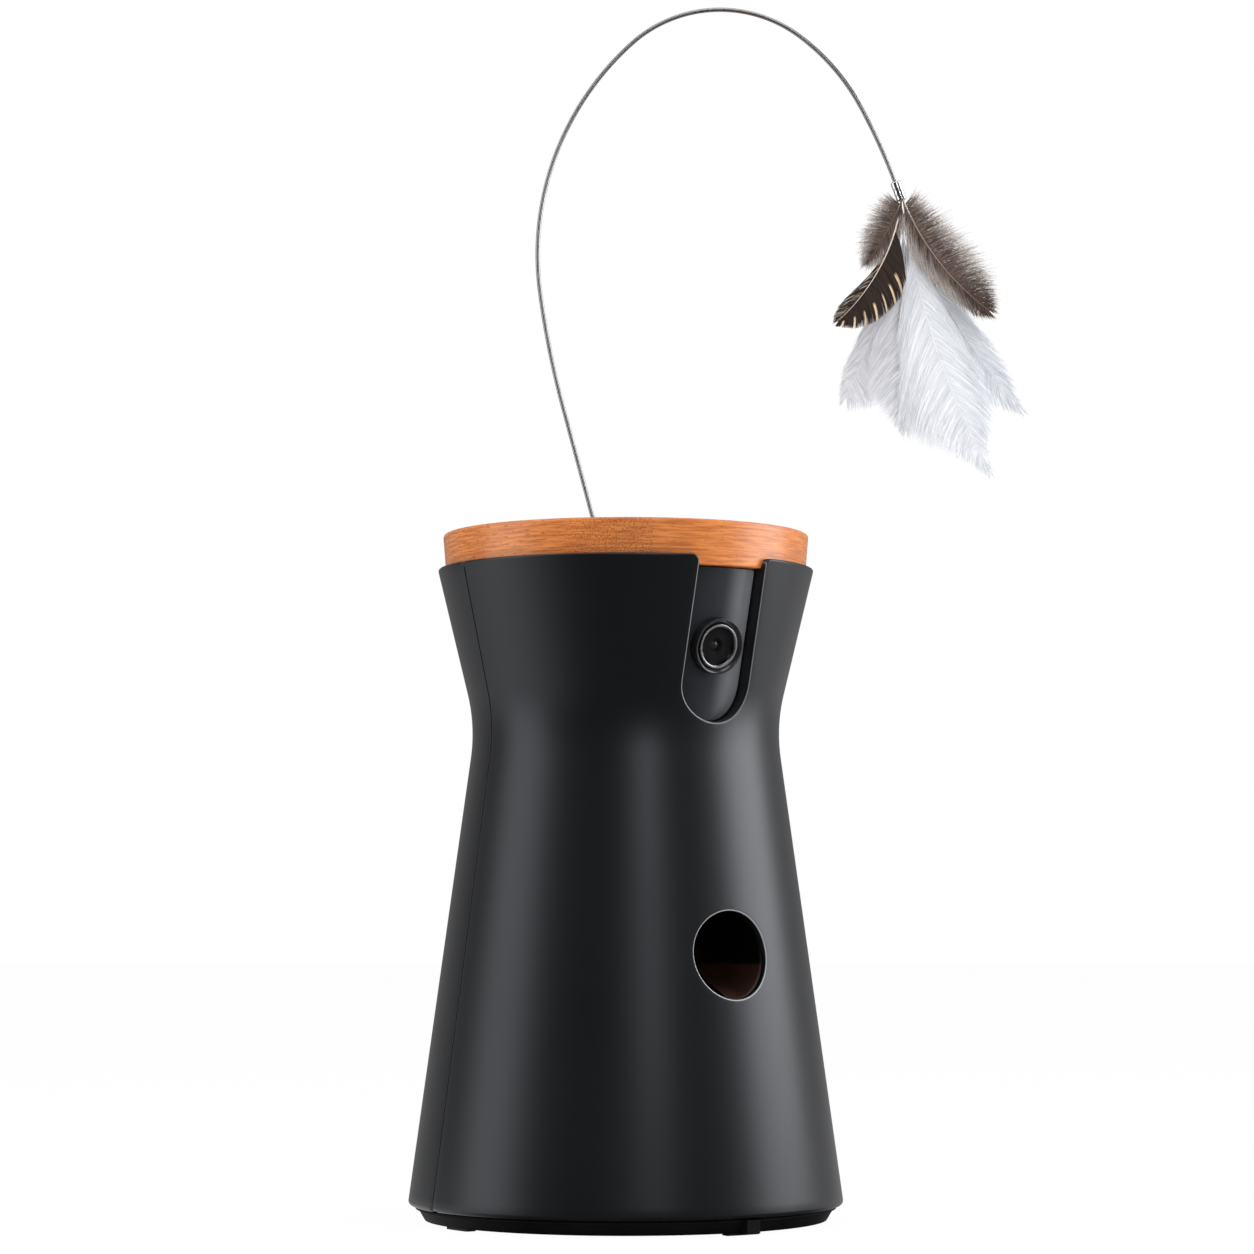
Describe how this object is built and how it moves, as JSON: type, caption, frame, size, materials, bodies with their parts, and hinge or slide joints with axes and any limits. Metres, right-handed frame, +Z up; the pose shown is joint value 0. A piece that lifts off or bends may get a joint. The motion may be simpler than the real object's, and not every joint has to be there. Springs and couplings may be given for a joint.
{
  "type": "pet camera",
  "caption": "Free-standing hourglass pet camera with a recessed lens, a treat outlet, a wooden lid and a feather wand on an arched wire; the housing swivels on a low base.",
  "frame": {"origin": "on the table, in the middle of the base's grip pad, on the swivel axis", "axes": "+Z up along the swivel axis; -Y towards the front, where the lens and the treat outlet are; +X to the right seen from the back"},
  "size_m": [0.1929, 0.1426, 0.4088],
  "materials": {
    "barred_feather": "dark with cream bars",
    "black_plastic": "fine matt",
    "brass": "turned",
    "brown_feather": "soft down",
    "brown_plastic": "matt moulded",
    "charcoal_plastic": "satin moulded",
    "circuit_board": "lacquered",
    "cover_glass": "polished",
    "lens_glass": "coated",
    "nylon": "plain moulded",
    "orange_plastic": "matt moulded",
    "rubber": "matt",
    "silicone": "matt",
    "steel": "drawn",
    "white_feather": "soft barbs",
    "wood": "oiled, fine open grain"
  },
  "bodies": {
    "base": {"base_tray": "black_plastic", "base_cover": "black_plastic", "grip_pad": "rubber", "rubber_feet": "rubber", "cover_screws": "steel", "power_inlet": "steel", "inlet_board": "circuit_board", "glide_ring": "nylon", "swivel_gear": "nylon", "gear_screws": "steel"},
    "housing": {"body_floor": "charcoal_plastic", "floor_screws": "steel", "front_shell": "charcoal_plastic", "rear_shell": "charcoal_plastic", "swivel_bracket": "steel", "swivel_motor": "steel", "chassis": "black_plastic", "tosser_housing": "charcoal_plastic", "tosser_cover": "charcoal_plastic", "shaft_bushes": "brass", "tosser_bracket": "steel", "tosser_screws": "steel", "tosser_motor": "steel", "outlet_chute": "brown_plastic", "hopper": "charcoal_plastic", "hopper_screws": "steel", "camera_panel": "charcoal_plastic", "camera_bezel": "black_plastic", "lens_ring": "steel", "lens_cover": "cover_glass", "lens_barrel": "black_plastic", "lens_element": "lens_glass", "camera_board": "circuit_board", "main_board": "circuit_board", "board_screws": "steel", "speaker": "black_plastic"},
    "swivel_pinion": {"swivel_pinion": "brass"},
    "paddle_wheel": {"tosser_wheel": "orange_plastic", "wheel_shaft": "steel", "drive_gear": "nylon"},
    "tosser_pinion": {"tosser_pinion": "brass"},
    "lid": {"lid": "wood", "lid_plug": "black_plastic", "lid_seal": "silicone", "lid_screws": "steel", "wand_bush": "black_plastic"},
    "wand_plug": {"wand_plug": "black_plastic"},
    "wand": {"wand_wire": "steel", "wand_ferrule": "steel", "barred_feather": "barred_feather", "down_tuft": "brown_feather", "brown_feather": "brown_feather", "white_plume_main": "white_feather", "white_plume_mid": "white_feather", "white_plume_left": "white_feather", "white_plume_right": "white_feather", "white_plume_back": "white_feather"}
  },
  "joints": [
    {"name": "body_swivel", "type": "hinge", "parent": "base", "child": "housing", "pos_m": [0, 0, 0.012], "axis": [0, 0, 1], "range_deg": [-175, 175]},
    {"name": "swivel_pinion_spin", "type": "hinge", "parent": "housing", "child": "swivel_pinion", "pos_m": [0, -0.0331, 0.0185], "axis": [0, 0, 1], "range_deg": [-467, 467]},
    {"name": "tosser_spin", "type": "hinge", "parent": "housing", "child": "paddle_wheel", "pos_m": [0, 0, 0.092], "axis": [1, 0, 0], "continuous": true},
    {"name": "tosser_pinion_spin", "type": "hinge", "parent": "housing", "child": "tosser_pinion", "pos_m": [0.02, 0.01827, 0.07667], "axis": [1, 0, 0], "continuous": true},
    {"name": "lid_lift", "type": "slide", "parent": "housing", "child": "lid", "axis": [0, 0, 1], "range_m": [0, 0.08]},
    {"name": "wand_pull", "type": "slide", "parent": "lid", "child": "wand_plug", "axis": [0, 0, 1], "range_m": [0, 0.04]},
    {"name": "wand_turn", "type": "hinge", "parent": "wand_plug", "child": "wand", "pos_m": [0, 0.018, 0.225], "axis": [0, 0, 1], "continuous": true}
  ],
  "couplings": [
    {"joint": "swivel_pinion_spin", "follows": "body_swivel", "ratio": 2.6667},
    {"joint": "tosser_pinion_spin", "follows": "tosser_spin", "ratio": -2.1667}
  ]
}
